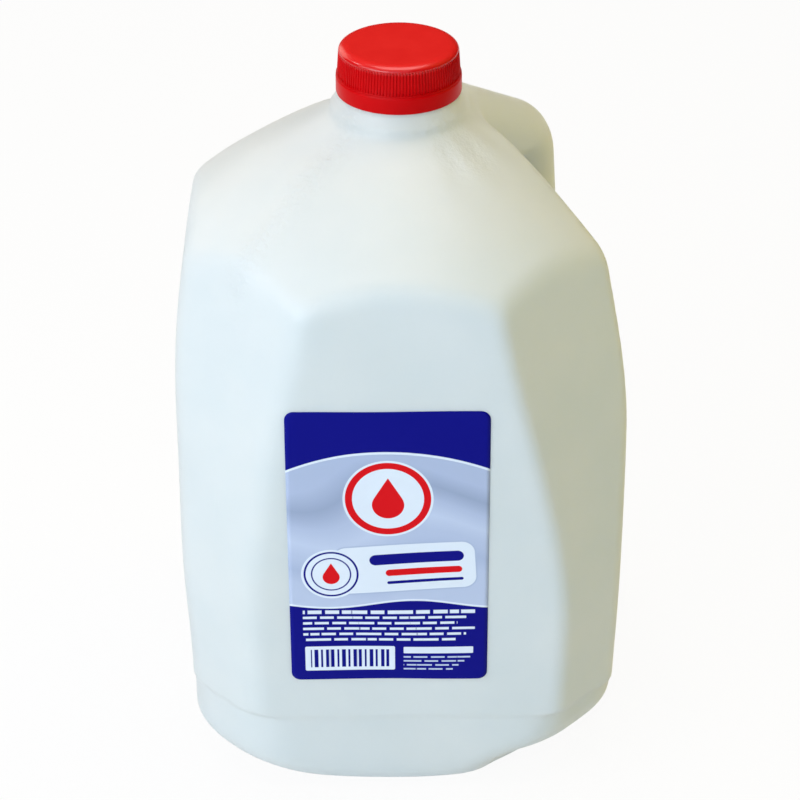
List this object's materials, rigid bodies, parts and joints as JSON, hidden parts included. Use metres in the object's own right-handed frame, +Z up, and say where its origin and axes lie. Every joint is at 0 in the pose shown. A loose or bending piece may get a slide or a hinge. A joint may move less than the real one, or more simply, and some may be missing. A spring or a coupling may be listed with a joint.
{
  "type": "plastic milk jug",
  "caption": "Shut square plastic milk jug with corner flats, a sloping shoulder, a hollow corner handle, a ribbed red screw cap and a front label.",
  "frame": {"origin": "on the neck's axis, at the level that the jug stands on", "axes": "+Z up; -Y is the side with the label; the handle is at the corner towards +X +Y"},
  "size_m": [0.1556, 0.1558, 0.2551],
  "materials": {
    "jug_plastic": "natural milky plastic, slightly satin, light passes through",
    "milk": "opaque white liquid",
    "cap_plastic": "smooth red moulded plastic with fine grip ribs",
    "label_print": "printed label, satin"
  },
  "bodies": {
    "root": {"jug": "jug_plastic", "milk": "milk", "cap": "cap_plastic", "label": "label_print"}
  },
  "joints": []
}
